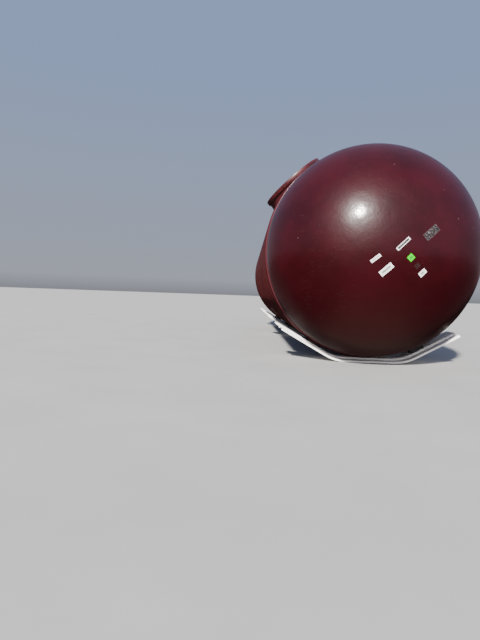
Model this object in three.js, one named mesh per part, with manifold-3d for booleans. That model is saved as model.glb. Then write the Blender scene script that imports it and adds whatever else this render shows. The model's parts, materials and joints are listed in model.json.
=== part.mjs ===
// A horizontal fibreglass storage tank for underground use, lying on its steel shipping cradles.
// It has two domed ends, a ribbed barrel in two halves, a containment collar round a bolted
// manway, pipe fittings and lifting lugs. The tank lies rolled, so its top line leans to -X.
import * as THREE from 'three';
import { mergeVertices } from 'three/addons/utils/BufferGeometryUtils.js';
import Module from 'manifold-3d';

const wasm = await Module();
wasm.setup();

// Driving dimensions in millimetres. X runs across the tank, Y along its axis, Z is up.
// The origin is on the ground under the middle of the tank, and the front dome points to -Y.
const seatGap = 0.3;
const ringSides = 48;
const smallRoundSides = 24;
const rollAngle = THREE.MathUtils.degToRad(42);

const ribOuterRadius = 1582;
const shellRadius = 1545;
const shellWall = 12;
const ribsPerHalf = 10;
const ribPitch = 443;
const firstRibFromEnd = 140;
const ribBaseWidth = 130;
const ribCrownWidth = 64;
const halfBarrel = firstRibFromEnd + (ribsPerHalf - 0.5) * ribPitch;

const domeRadius = 1553;
const domeDepth = 1290;
const domeWall = 16;
const domeSkirt = 60;
const skirtRadius = 1566;
const skirtSetback = 8;
const domeOuterSteps = 12;
const domeInnerSteps = 8;

const jointBandWidth = 280;
const jointBandRadius = 1553;

const collarFromEnd = 1020;
const collarRadius = 533;
const collarWall = 12;
const collarRim = 1686;
const rimBandRadius = 552;
const rimBandHeight = 66;

const neckRadius = 300;
const neckWall = 14;
const neckTop = 1640;
const flangeRadius = 366;
const flangeThickness = 22;
const coverThickness = 18;
const coverBoltCircle = 334;
const coverBoltCount = 16;
const coverBoltRadius = 13;
const coverBoltHeight = 12;

const fittingRadius = 68;
const fittingTop = 1628;
const fittingPlugRadius = 46;
const fittingPlugHeight = 16;
const fittingBays = [6, 12, 18];
const coverFittingOffsets = [-150, 150];
const coverFittingHeight = 26;

const lugBays = [5, 8, 13, 16];
const lugThickness = 30;
const lugLength = 190;
const lugTop = 1687;
const lugHoleRadius = 34;
const lugFootWidth = 130;
const lugFootHeight = 14;

const cradleSheet = 6;
const cradleHeight = 60;
const cradleCrownWidth = 330;
const cradleBrimWidth = 135;
const cradleBrimHeight = 30;
const cradleShift = 45;
const cradleFlatToCorner = 511;
const cradleBendRadius = 660;
const cradleLeftArm = 1040;
const cradleRightArm = 885;
const cradleArmAngle = THREE.MathUtils.degToRad(29);
const cradleBendSteps = 5;
const endCradleFromEnd = 205;
const middleCradleBay = 10;
const padLength = 220;
const padWidth = 150;

const axisHeight = cradleHeight + seatGap + ribOuterRadius;

const gelcoat = new THREE.MeshStandardMaterial({ color: 0x3d1519, roughness: 0.4, metalness: 0 });
const ribResin = new THREE.MeshStandardMaterial({ color: 0x46191d, roughness: 0.45, metalness: 0 });
const collarResin = new THREE.MeshStandardMaterial({ color: 0x6a2f2c, roughness: 0.5, metalness: 0 });
const galvanised = new THREE.MeshStandardMaterial({ color: 0xb4b6b4, roughness: 0.45, metalness: 0.9 });
const rubber = new THREE.MeshStandardMaterial({ color: 0x1b1b1b, roughness: 0.85, metalness: 0 });
const castIron = new THREE.MeshStandardMaterial({ color: 0x4a4a48, roughness: 0.6, metalness: 0.8 });

// A closed geometry with shared corners, no flat slivers and its faces pointing out.
function closedGeometry(geometry) {
  const bare = geometry.clone();
  bare.deleteAttribute('normal');
  bare.deleteAttribute('uv');
  const merged = mergeVertices(bare, 1e-3);
  const corners = merged.attributes.position;
  const kept = [];
  let volume = 0;
  const a = new THREE.Vector3();
  const b = new THREE.Vector3();
  const c = new THREE.Vector3();
  for (let i = 0; i < merged.index.count; i += 3) {
    const [p, q, r] = [0, 1, 2].map((k) => merged.index.getX(i + k));
    if (p === q || q === r || r === p) continue;
    kept.push([p, q, r]);
    a.fromBufferAttribute(corners, p);
    b.fromBufferAttribute(corners, q);
    c.fromBufferAttribute(corners, r);
    volume += a.dot(b.cross(c));
  }
  const outward = volume > 0 ? kept : kept.map(([p, q, r]) => [p, r, q]);
  merged.setIndex(outward.flat());
  return merged;
}

function toSolid(geometry) {
  const closed = closedGeometry(geometry);
  const vertProperties = new Float32Array(closed.attributes.position.array);
  const triVerts = new Uint32Array(closed.index.array);
  return new wasm.Manifold(new wasm.Mesh({ numProp: 3, vertProperties, triVerts }));
}

function toGeometry(solid) {
  const mesh = solid.getMesh();
  const geometry = new THREE.BufferGeometry();
  geometry.setAttribute('position', new THREE.BufferAttribute(new Float32Array(mesh.vertProperties), 3));
  geometry.setIndex(new THREE.BufferAttribute(new Uint32Array(mesh.triVerts), 1));
  geometry.computeVertexNormals();
  return geometry;
}

function named(name, geometry, material) {
  const mesh = new THREE.Mesh(closedGeometry(geometry), material);
  mesh.name = name;
  return mesh;
}

// A ring or tube round the tank's axis from a closed outline of [radius, y] points.
function turned(outline, sides = ringSides) {
  const points = outline.map(([radius, y]) => new THREE.Vector2(radius, y));
  return new THREE.LatheGeometry(points, sides);
}

function closedRing(outline, sides = ringSides) {
  return turned([...outline, outline[0]], sides);
}

// A round bar or tube that stands on the tank's top line, between two heights above the axis.
function upright(outerRadius, innerRadius, bottom, top, sides = smallRoundSides) {
  const outline = innerRadius > 0
    ? [[innerRadius, bottom], [outerRadius, bottom], [outerRadius, top], [innerRadius, top], [innerRadius, bottom]]
    : [[0, bottom], [outerRadius, bottom], [outerRadius, top], [0, top]];
  return turned(outline, sides).rotateX(Math.PI / 2);
}

// The solid that pieces standing on the shell are cut by, turned back by the roll of the tank.
function shellCutter() {
  const reach = halfBarrel;
  const outline = [[0, -reach], [shellRadius + seatGap, -reach], [shellRadius + seatGap, reach], [0, reach]];
  return toSolid(turned(outline).rotateY(rollAngle));
}

const ribYs = [];
for (let i = 0; i < ribsPerHalf * 2; i += 1) {
  ribYs.push(-halfBarrel + firstRibFromEnd + i * ribPitch);
}
// The middle of the bay between one rib and the next, counted from the front.
const bayY = (bay) => -halfBarrel + firstRibFromEnd + (bay - 0.5) * ribPitch;
const collarY = -halfBarrel + collarFromEnd;

// Domed ends: half ellipsoid shells with a thicker skirt that laps over the barrel's end.
function domeEnd(name, facing) {
  const outline = [];
  for (let i = 0; i <= domeOuterSteps; i += 1) {
    const t = (i / domeOuterSteps) * Math.PI / 2;
    outline.push([domeRadius * Math.sin(t), -domeDepth * Math.cos(t)]);
  }
  outline.push([skirtRadius, skirtSetback], [skirtRadius, domeSkirt]);
  outline.push([shellRadius + seatGap, domeSkirt], [shellRadius + seatGap, 0]);
  const innerRadius = shellRadius - shellWall;
  const innerDepth = domeDepth - domeWall;
  for (let i = domeInnerSteps; i >= 0; i -= 1) {
    const t = (i / domeInnerSteps) * Math.PI / 2;
    outline.push([innerRadius * Math.sin(t), -innerDepth * Math.cos(t)]);
  }
  const dome = named(name, turned(outline), gelcoat);
  dome.position.y = facing * halfBarrel;
  dome.rotation.z = facing > 0 ? Math.PI : 0;
  return dome;
}

// One half of the barrel, an open tube whose front half has the hole under the manway.
function barrelHalf(name, facing) {
  const inner = shellRadius - shellWall;
  const near = facing * seatGap / 2;
  const far = facing * (halfBarrel - seatGap);
  const low = Math.min(near, far);
  const high = Math.max(near, far);
  let solid = toSolid(closedRing([[inner, low], [shellRadius, low], [shellRadius, high], [inner, high]]));
  if (facing < 0) {
    const hole = upright(neckRadius - neckWall, 0, shellRadius / 2, ribOuterRadius).translate(0, collarY, 0);
    solid = solid.subtract(toSolid(hole.rotateY(-rollAngle)));
  }
  return named(name, toGeometry(solid), gelcoat);
}

function jointBand() {
  const inner = shellRadius + seatGap;
  const half = jointBandWidth / 2;
  const outline = [[inner, -half], [jointBandRadius, -half + 20], [jointBandRadius, half - 20], [inner, half]];
  return named('joint_band_middle', closedRing(outline), gelcoat);
}

// A moulded rib with sloped sides. The ribs under the collar stop short of its wall.
function rib(index, y) {
  const inner = shellRadius + seatGap;
  const base = ribBaseWidth / 2;
  const crown = ribCrownWidth / 2;
  const ring = closedRing([[inner, y - base], [inner, y + base], [ribOuterRadius, y + crown], [ribOuterRadius, y - crown]]);
  let solid = toSolid(ring);
  if (Math.abs(y - collarY) < collarRadius + ribBaseWidth) {
    const clear = upright(collarRadius + seatGap, 0, shellRadius / 2, collarRim, ringSides);
    solid = solid.subtract(toSolid(clear.translate(0, collarY, 0).rotateY(-rollAngle)));
  }
  return named(`rib_${String(index + 1).padStart(2, '0')}`, toGeometry(solid), ribResin);
}

// The containment collar: a round wall seated on the shell, with a thick band round its rim.
function collar(cutter) {
  const inner = collarRadius - collarWall;
  const bandBottom = collarRim - rimBandHeight;
  const outline = [
    [inner, shellRadius / 2],
    [collarRadius, shellRadius / 2],
    [collarRadius, bandBottom],
    [rimBandRadius, bandBottom],
    [rimBandRadius, collarRim],
    [inner, collarRim],
    [inner, shellRadius / 2],
  ];
  const wall = turned(outline).rotateX(Math.PI / 2).translate(0, collarY, 0);
  return named('containment_collar', toGeometry(toSolid(wall).subtract(cutter)), collarResin);
}

function manwayNeck(cutter) {
  const flangeBottom = neckTop - flangeThickness;
  const inner = neckRadius - neckWall;
  const outline = [
    [inner, shellRadius / 2],
    [neckRadius, shellRadius / 2],
    [neckRadius, flangeBottom],
    [flangeRadius, flangeBottom],
    [flangeRadius, neckTop],
    [inner, neckTop],
    [inner, shellRadius / 2],
  ];
  const neck = turned(outline, smallRoundSides).rotateX(Math.PI / 2).translate(0, collarY, 0);
  return named('manway_neck', toGeometry(toSolid(neck).subtract(cutter)), gelcoat);
}

// The bolted manway cover with its ring of bolt heads.
function manwayCover() {
  const bottom = neckTop + seatGap;
  const top = bottom + coverThickness;
  let solid = toSolid(upright(flangeRadius, 0, bottom, top).translate(0, collarY, 0));
  for (let i = 0; i < coverBoltCount; i += 1) {
    const angle = (i / coverBoltCount) * Math.PI * 2;
    const head = upright(coverBoltRadius, 0, bottom, top + coverBoltHeight, 6);
    head.translate(coverBoltCircle * Math.cos(angle), collarY + coverBoltCircle * Math.sin(angle), 0);
    solid = solid.add(toSolid(head));
  }
  return named('manway_cover', toGeometry(solid), gelcoat);
}

function coverFitting(index, offset) {
  const bottom = neckTop + seatGap + coverThickness + seatGap;
  const body = upright(fittingRadius, 0, bottom, bottom + coverFittingHeight, 16);
  return named(`cover_fitting_${index + 1}`, body.translate(0, collarY + offset, 0), castIron);
}

// A threaded pipe fitting with its plug, seated on the shell between two ribs.
function topFitting(index, bay, cutter) {
  const y = bayY(bay);
  const body = toSolid(upright(fittingRadius, 0, shellRadius / 2, fittingTop, 16).translate(0, y, 0));
  const plugTop = fittingTop + fittingPlugHeight;
  const plug = toSolid(upright(fittingPlugRadius, 0, fittingTop - 1, plugTop, 6).translate(0, y, 0));
  const solid = body.subtract(cutter).add(plug);
  return named(`top_fitting_${index + 1}`, toGeometry(solid), castIron);
}

// A lifting lug: a round-topped plate with an eye, on a foot seated on the shell.
function liftingLug(index, bay, cutter) {
  const half = lugLength / 2;
  const eyeHeight = lugTop - half;
  const outline = new THREE.Shape();
  outline.moveTo(-half, shellRadius / 2);
  outline.lineTo(half, shellRadius / 2);
  outline.lineTo(half, eyeHeight);
  outline.absarc(0, eyeHeight, half, 0, Math.PI, false);
  outline.lineTo(-half, shellRadius / 2);
  const eye = new THREE.Path();
  eye.absarc(0, eyeHeight + half / 3, lugHoleRadius, 0, Math.PI * 2, true);
  outline.holes.push(eye);
  const plate = new THREE.ExtrudeGeometry(outline, { depth: lugThickness, bevelEnabled: false, curveSegments: 6 });
  plate.rotateX(Math.PI / 2).rotateZ(Math.PI / 2).translate(-lugThickness / 2, bayY(bay), 0);
  const footLength = lugLength + 50;
  const foot = new THREE.BoxGeometry(lugFootWidth, footLength, shellRadius);
  foot.translate(0, bayY(bay), shellRadius / 2 + lugFootHeight);
  const solid = toSolid(plate).add(toSolid(foot)).subtract(cutter);
  return named(`lifting_lug_${index + 1}`, toGeometry(solid), collarResin);
}

// A point list along the cradle's bent line at a given height over its underside.
function cradleLine(lift) {
  const halfTurn = Math.tan(cradleArmAngle / 2);
  const outerBend = cradleBendRadius + cradleHeight;
  const flatEnd = cradleFlatToCorner + cradleHeight * halfTurn - outerBend * halfTurn;
  const bend = outerBend - lift;
  const arm = (side, length) => {
    const line = [];
    for (let i = 0; i <= cradleBendSteps; i += 1) {
      const t = (i / cradleBendSteps) * cradleArmAngle;
      line.push([cradleShift + side * (flatEnd + bend * Math.sin(t)), outerBend - bend * Math.cos(t)]);
    }
    const [lastX, lastZ] = line[line.length - 1];
    const straight = length - cradleBendRadius * halfTurn;
    line.push([lastX + side * straight * Math.cos(cradleArmAngle), lastZ + straight * Math.sin(cradleArmAngle)]);
    return line;
  };
  return [...arm(-1, cradleLeftArm).reverse(), ...arm(1, cradleRightArm)];
}

function cradleStrip(low, high, fromY, toY) {
  const outline = [...cradleLine(low), ...cradleLine(high).reverse()];
  const shape = new THREE.Shape(outline.map(([x, z]) => new THREE.Vector2(x, z)));
  const strip = new THREE.ExtrudeGeometry(shape, { depth: toY - fromY, bevelEnabled: false });
  return toSolid(strip.rotateX(Math.PI / 2).translate(0, toY, 0));
}

// A shipping cradle: sheet bent to a raised crown between two lower brims with turned-down edges.
function cradle(name, y) {
  const crown = cradleCrownWidth / 2;
  const edge = crown + cradleBrimWidth;
  let solid = cradleStrip(cradleHeight - cradleSheet, cradleHeight, -crown, crown);
  for (const side of [-1, 1]) {
    const span = (from, to) => [Math.min(side * from, side * to), Math.max(side * from, side * to)];
    const underBrim = cradleBrimHeight - cradleSheet;
    solid = solid.add(cradleStrip(underBrim, cradleHeight, ...span(crown - cradleSheet, crown)));
    solid = solid.add(cradleStrip(underBrim, cradleBrimHeight, ...span(crown - cradleSheet, edge)));
    solid = solid.add(cradleStrip(0, cradleBrimHeight, ...span(edge - cradleSheet, edge)));
  }
  const mesh = named(name, toGeometry(solid), galvanised);
  mesh.position.y = y;
  return mesh;
}

// A rubber pad that fills the space between a cradle's arm and the rib over it.
function armPad(name, ribY, side) {
  const corner = cradleFlatToCorner + side * cradleShift;
  const armDistance = ribOuterRadius * Math.cos(cradleArmAngle) + corner * Math.sin(cradleArmAngle);
  const thickness = armDistance - ribOuterRadius - 2 * seatGap;
  const middle = armDistance - seatGap - thickness / 2;
  const pad = named(name, new THREE.BoxGeometry(padLength, padWidth, thickness), rubber);
  pad.position.set(side * middle * Math.sin(cradleArmAngle), ribY, axisHeight - middle * Math.cos(cradleArmAngle));
  pad.rotation.y = -side * cradleArmAngle;
  return pad;
}

const object = new THREE.Group();
const tank = new THREE.Group();
tank.position.z = axisHeight;
object.add(tank);

tank.add(domeEnd('dome_front', -1));
tank.add(domeEnd('dome_rear', 1));
tank.add(barrelHalf('barrel_front', -1));
tank.add(barrelHalf('barrel_rear', 1));
tank.add(jointBand());
ribYs.forEach((y, index) => tank.add(rib(index, y)));

const topLine = new THREE.Group();
topLine.rotation.y = -rollAngle;
tank.add(topLine);
const cutter = shellCutter();
topLine.add(collar(cutter));
topLine.add(manwayNeck(cutter));
topLine.add(manwayCover());
coverFittingOffsets.forEach((offset, index) => topLine.add(coverFitting(index, offset)));
fittingBays.forEach((bay, index) => topLine.add(topFitting(index, bay, cutter)));
lugBays.forEach((bay, index) => topLine.add(liftingLug(index, bay, cutter)));

const endCradleY = halfBarrel - endCradleFromEnd;
const cradles = [
  ['front', -endCradleY, ribYs[0]],
  ['middle', ribYs[middleCradleBay], ribYs[middleCradleBay]],
  ['rear', endCradleY, ribYs[ribYs.length - 1]],
];
for (const [place, y, ribY] of cradles) {
  object.add(cradle(`cradle_${place}`, y));
  object.add(armPad(`pad_${place}_left`, ribY, -1));
  object.add(armPad(`pad_${place}_right`, ribY, 1));
}

export default object;
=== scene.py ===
# Looks of a horizontal fibreglass storage tank that lies rolled on its sheet-steel shipping cradles.
# Metres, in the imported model's frame: X across the tank, Y along its axis, Z up.
import json
from math import cos, hypot, pi, radians, sin, sqrt, tan
import bmesh
import bpy
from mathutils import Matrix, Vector, noise


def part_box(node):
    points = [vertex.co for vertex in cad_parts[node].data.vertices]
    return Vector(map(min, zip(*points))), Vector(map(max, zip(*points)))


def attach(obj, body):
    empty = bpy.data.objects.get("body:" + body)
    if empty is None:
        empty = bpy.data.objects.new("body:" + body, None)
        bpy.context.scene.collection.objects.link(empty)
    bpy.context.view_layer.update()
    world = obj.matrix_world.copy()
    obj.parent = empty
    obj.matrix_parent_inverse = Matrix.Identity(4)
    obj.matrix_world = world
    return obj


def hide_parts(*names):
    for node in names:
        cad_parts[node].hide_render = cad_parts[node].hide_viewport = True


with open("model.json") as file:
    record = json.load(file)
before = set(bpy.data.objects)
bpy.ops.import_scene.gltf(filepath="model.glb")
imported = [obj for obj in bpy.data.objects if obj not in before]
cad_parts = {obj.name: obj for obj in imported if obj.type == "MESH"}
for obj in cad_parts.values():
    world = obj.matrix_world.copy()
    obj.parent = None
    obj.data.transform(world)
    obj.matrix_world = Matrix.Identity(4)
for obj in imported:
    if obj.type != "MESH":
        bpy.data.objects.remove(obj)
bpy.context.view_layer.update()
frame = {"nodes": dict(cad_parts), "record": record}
scene = bpy.context.scene
print("frame loaded:", len(frame["nodes"]), "nodes")

# Main measures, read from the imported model
ribLow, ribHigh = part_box("rib_08")
barrelLow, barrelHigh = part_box("barrel_front")
domeLow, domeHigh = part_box("dome_front")
collarLow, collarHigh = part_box("containment_collar")
rimMount = next(m for m in frame["record"]["mounts"] if m["name"] == "collar_rim")
axisHeight = (ribLow.z + ribHigh.z) / 2
ribRadius = ribHigh.x
shellRadius = barrelHigh.x
shellWall = 0.012
seatGap = 0.0003                           # between a piece and what it stands on
seatRadius = shellRadius + seatGap
hair = 0.0002                              # under the edges of what is laid up or stuck on
halfBarrel = -barrelLow.y
lipReach = 0.013                           # the dome's skirt stands out this far round its rim
domeRadius = domeHigh.x - lipReach
domeDepth = -halfBarrel - domeLow.y
collarY = (collarLow.y + collarHigh.y) / 2
collarReach = (collarHigh.y - collarLow.y) / 2
leanAxis = Vector(rimMount["axis"])        # points from the tank's axis to the collar
crossAxis = Vector((leanAxis.z, 0, -leanAxis.x))
rimHeight = (Vector(rimMount["pos_m"]) - Vector((0, 0, axisHeight))).dot(leanAxis)


# Small tools for meshes

def wobble(x, y, z, seed=0.0):
    # smooth, repeatable unevenness between about -1 and 1
    return noise.noise(Vector((x + seed * 3.7, y - seed * 1.9, z + seed * 7.1)))


def finishPiece(piece, material, nodes=(), sharp=35):
    work = bmesh.new()
    work.from_mesh(piece.data)
    bmesh.ops.remove_doubles(work, verts=work.verts, dist=1e-6)
    bmesh.ops.recalc_face_normals(work, faces=work.faces)
    work.to_mesh(piece.data)
    work.free()
    piece.data.shade_smooth()
    piece.data.set_sharp_from_angle(angle=radians(sharp))
    piece.data.materials.clear()
    piece.data.materials.append(material)
    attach(piece, "root")
    if nodes:
        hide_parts(*nodes)
    return piece


def addObject(name, data):
    made = bpy.data.objects.new(name, data)
    scene.collection.objects.link(made)
    return made


def newPiece(name, points, faces):
    mesh = bpy.data.meshes.new(name)
    mesh.from_pydata([tuple(p) for p in points], [], faces)
    return addObject(name, mesh)


def finishedMesh(piece):
    # The piece's mesh with its modifiers or curve settings applied
    view = bpy.context.evaluated_depsgraph_get()
    return bpy.data.meshes.new_from_object(piece.evaluated_get(view))


def roundSurface(rows, steps, place):
    # A closed surface from rings of points; a row with no radius is a single point.
    points, rings, faces = [], [], []
    for row in rows:
        count = 1 if row[0] == 0 else steps
        rings.append(list(range(len(points), len(points) + count)))
        points += [place(row, 2 * pi * j / steps) for j in range(count)]
    for near, far in zip(rings, rings[1:] + rings[:1]):
        if len(near) == 1 and len(far) == 1:
            continue
        for j in range(steps):
            k = (j + 1) % steps
            if len(near) == 1:
                faces.append((near[0], far[j], far[k]))
            elif len(far) == 1:
                faces.append((near[j], far[0], near[k]))
            else:
                faces.append((near[j], far[j], far[k], near[k]))
    return points, faces


def stripSurface(grid):
    # A closed thin sheet from a grid of pairs of points that lie opposite each other.
    rows, columns = len(grid), len(grid[0])
    points = [pair[side] for side in (0, 1) for row in grid for pair in row]
    back = rows * columns
    faces = []
    for i in range(rows - 1):
        for j in range(columns - 1):
            a, b = i * columns + j, (i + 1) * columns + j
            faces.append((a, a + 1, b + 1, b))
            faces.append((back + b, back + b + 1, back + a + 1, back + a))
    for i in range(rows - 1):
        for j in (0, columns - 1):
            a, b = i * columns + j, (i + 1) * columns + j
            faces.append((a, b, back + b, back + a))
    for j in range(columns - 1):
        for i in (0, rows - 1):
            a = i * columns + j
            faces.append((a, a + 1, back + a + 1, back + a))
    return points, faces


def roundCorner(before, corner, after, reach, steps=4):
    # Points that round a corner, from reach before it to reach after it.
    before, corner, after = Vector(before), Vector(corner), Vector(after)
    start = corner + (before - corner).normalized() * reach
    end = corner + (after - corner).normalized() * reach
    made = []
    for i in range(steps + 1):
        t = i / steps
        made.append(tuple(start * (1 - t) ** 2 + corner * 2 * t * (1 - t) + end * t * t))
    return made


def cutWith(piece, cutter):
    step = piece.modifiers.new("cut", "BOOLEAN")
    step.operation = "DIFFERENCE"
    step.solver = "EXACT"
    step.object = cutter
    made = finishedMesh(piece)
    piece.modifiers.clear()
    piece.data = made
    bpy.data.objects.remove(cutter)


def middleY(nodeName):
    low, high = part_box(nodeName)
    return (low.y + high.y) / 2


def onTopLine(across, y, height):
    # A point above the tank's axis, in the rolled direction of the collar
    return Vector((0, y, axisHeight)) + crossAxis * across + leanAxis * height


# Small tools for materials

def newMaterial(name, **sockets):
    material = bpy.data.materials.new(name)
    material.use_nodes = True
    tree = material.node_tree
    shader = tree.nodes["Principled BSDF"]
    for label, value in sockets.items():
        shader.inputs[label.replace("_", " ")].default_value = value
    return material, tree, shader


def addNode(tree, kind, inputs=(), **settings):
    # Each input is another node's output or a plain value
    made = tree.nodes.new("ShaderNode" + kind)
    for key, value in settings.items():
        setattr(made, key, value)
    for key, value in dict(inputs).items():
        if isinstance(value, bpy.types.NodeSocket):
            tree.links.new(value, made.inputs[key])
        else:
            made.inputs[key].default_value = value
    return made


def feed(shader, label, source):
    shader.id_data.links.new(source, shader.inputs[label])


def stretched(tree, scale=(1, 1, 1), turn=(0, 0, 0)):
    # Object coordinates, stretched and turned
    coords = addNode(tree, "TexCoord").outputs["Object"]
    mapping = addNode(tree, "Mapping", {"Vector": coords, "Scale": scale, "Rotation": turn})
    return mapping.outputs["Vector"]


def cloudy(tree, scale, detail=4, rough=0.55, stretch=(1, 1, 1), turn=(0, 0, 0)):
    made = addNode(tree, "TexNoise", {"Vector": stretched(tree, stretch, turn), "Scale": scale,
                                      "Detail": detail, "Roughness": rough})
    return made.outputs["Fac"]


def cellPattern(tree, scale):
    # The distance from each cell's middle, and a number of its own for each cell
    made = addNode(tree, "TexVoronoi", {"Vector": stretched(tree), "Scale": scale})
    own = addNode(tree, "SeparateColor", {"Color": made.outputs["Color"]}).outputs["Red"]
    return made.outputs["Distance"], own


def rescale(source, low, high, newLow=0, newHigh=1):
    made = addNode(source.id_data, "MapRange", {"Value": source, "From Min": low, "From Max": high,
                                                "To Min": newLow, "To Max": newHigh})
    return made.outputs["Result"]


def combine(operation, first, second):
    made = addNode(first.id_data, "Math", {0: first, 1: second}, operation=operation)
    return made.outputs["Value"]


def mixColour(factor, first, second):
    first, second = [(*end, 1) if isinstance(end, tuple) else end for end in (first, second)]
    made = addNode(factor.id_data, "Mix", {0: factor, 6: first, 7: second}, data_type="RGBA")
    return made.outputs[2]


def specks(tree, scale, size, share=1.0):
    # Round dots, 1 in the middle of a dot and 0 elsewhere; only that share of them is kept
    distance, own = cellPattern(tree, scale)
    dots = rescale(distance, size, size * 0.5)
    return combine("MULTIPLY", dots, combine("LESS_THAN", own, share)) if share < 1 else dots


def raiseSurface(height, strength, distance, under=None):
    inputs = {"Height": height, "Strength": strength, "Distance": distance}
    if under is not None:
        inputs["Normal"] = under
    return addNode(height.id_data, "Bump", inputs).outputs["Normal"]


gelcoatLook = {
    "deep": (0.0180, 0.0008, 0.0020), "warm": (0.0268, 0.0013, 0.0034),
    # lip: the rim lip's paler colour, partly its trimmed edge and partly a painted highlight
    "dust": (0.27, 0.19, 0.18), "lip": (0.085, 0.014, 0.021),
    "roughness": (0.35, 0.42), "wornRoughness": 0.32, "coat": 0.125, "dustyCoat": 0.0,
    "specks": 0.50, "scuffs": 0.22, "film": 0.018,
    # the first pair of heights below sets where the painted shade low down on the dome fades out; the others
    # set the dusty zone
    "paintedShadeHeight": (-1.1, -0.1), "dustyHeight": (-0.20, -0.75), "dustyReach": (0.87, 0.97),
    "peel": 0.10, "waves": 0.36, "swells": 0.44,
}


def makeGelcoat():
    material, tree, shader = newMaterial(
        "domeGelcoat", Coat_Roughness=0.15, Coat_IOR=2.05, Specular_IOR_Level=0.145,
        Sheen_Weight=0.02, Sheen_Roughness=0.35, Sheen_Tint=(1.0, 0.46, 0.52, 1))
    place = addNode(tree, "SeparateXYZ", {"Vector": stretched(tree)}).outputs
    up = combine("SUBTRACT", place["Z"], axisHeight)
    # random mottle, plus painted shade: the colour is kept at its deep end low down, standing in for the
    # shade and dark reflections under the dome
    mottleAndPaintedShade = combine("MULTIPLY", rescale(cloudy(tree, 1.3, 6, 0.62), 0.40, 0.60),
                     rescale(up, *gelcoatLook["paintedShadeHeight"]))    # deeper low down
    base = mixColour(mottleAndPaintedShade, gelcoatLook["deep"], gelcoatLook["warm"])
    # dust specks gather in drifts, and scuffs run in faint bundles
    drifts = rescale(cloudy(tree, 1.6, 3), 0.50, 0.66)
    dots = combine("MULTIPLY", specks(tree, 34, 0.075), drifts)
    scuff = cloudy(tree, 5, 4, 0.7, (1, 1, 14), (0.2, 0.9, 0.0))
    scuffs = combine("MULTIPLY", rescale(scuff, 0.62, 0.76, 0, gelcoatLook["scuffs"]),
                     rescale(cloudy(tree, 0.8, 2), 0.52, 0.62))
    chips = specks(tree, 11, 0.080, 0.10)
    marks = combine("MAXIMUM", combine("MAXIMUM", dots, chips), scuffs)
    # road dust dulls the gloss low down round the rim
    squares = combine("ADD", combine("MULTIPLY", up, up), combine("MULTIPLY", place["X"], place["X"]))
    reach = combine("SQRT", squares, 0)
    nearRim = [share * domeRadius for share in gelcoatLook["dustyReach"]]
    dusty = combine("MULTIPLY", rescale(reach, *nearRim), rescale(up, *gelcoatLook["dustyHeight"]))
    feed(shader, "Coat Weight", rescale(dusty, 0, 1, gelcoatLook["coat"], gelcoatLook["dustyCoat"]))
    film = combine("MULTIPLY", dusty, gelcoatLook["film"])
    share = combine("ADD", combine("MULTIPLY", marks, gelcoatLook["specks"]), film)
    colour = mixColour(share, base, gelcoatLook["dust"])
    # the trimmed lip is paler: partly its own trimmed edge, partly a painted highlight standing in for the
    # light its rounded edge catches
    lip = rescale(reach, domeRadius + 0.001, domeRadius + 0.006)
    feed(shader, "Base Color", mixColour(lip, colour, gelcoatLook["lip"]))
    clean = rescale(cloudy(tree, 3.0, 5), 0.3, 0.7, *gelcoatLook["roughness"])
    worn = combine("MULTIPLY", combine("ADD", marks, dusty), gelcoatLook["wornRoughness"])
    feed(shader, "Roughness", combine("ADD", clean, worn))
    # orange peel, hand-rolled waves and slow swells break up the gloss
    peel = raiseSurface(cloudy(tree, 170, 2), gelcoatLook["peel"], 0.0006)
    waves = raiseSurface(cloudy(tree, 30, 4, 0.6), gelcoatLook["waves"], 0.0022, peel)
    swells = raiseSurface(cloudy(tree, 7, 2), gelcoatLook["swells"], 0.0050, waves)
    feed(shader, "Normal", swells)
    feed(shader, "Coat Normal", swells)
    return material


resinLook = {
    "barrelResin": {"deep": (0.027, 0.0044, 0.0050), "warm": (0.043, 0.0088, 0.0092),
                    "roughness": (0.36, 0.50)},
    "ribResin": {"deep": (0.030, 0.0042, 0.0050), "warm": (0.048, 0.0092, 0.0094),
                 "roughness": (0.40, 0.52)},
}


def makeResin(name):
    look = resinLook[name]
    material, tree, shader = newMaterial(name, IOR=1.30, Specular_IOR_Level=0.35)
    around = cloudy(tree, 2.2, 5, 0.65, (1, 34, 1))          # strands wound round the tank
    blotch = cloudy(tree, 2.5, 4)
    both = combine("ADD", combine("MULTIPLY", around, 0.6), combine("MULTIPLY", blotch, 0.4))
    feed(shader, "Base Color", mixColour(rescale(both, 0.38, 0.62), look["deep"], look["warm"]))
    feed(shader, "Roughness", rescale(blotch, 0.3, 0.7, *look["roughness"]))
    grain = raiseSurface(around, 0.35, 0.002)
    feed(shader, "Normal", raiseSurface(cloudy(tree, 60, 3), 0.15, 0.001, grain))
    return material


collarLook = {
    "deep": (0.029, 0.0026, 0.0040), "warm": (0.058, 0.0058, 0.0088), "roughness": (0.38, 0.55),
    "strand": (0.13, 0.026, 0.026), "strandShare": 0.35,
    "strandTurns": ((0.3, 0.2, 0.1), (1.2, 0.9, 0.5), (0.5, 1.7, 1.1), (1.9, 0.4, 2.2)),
}


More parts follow.
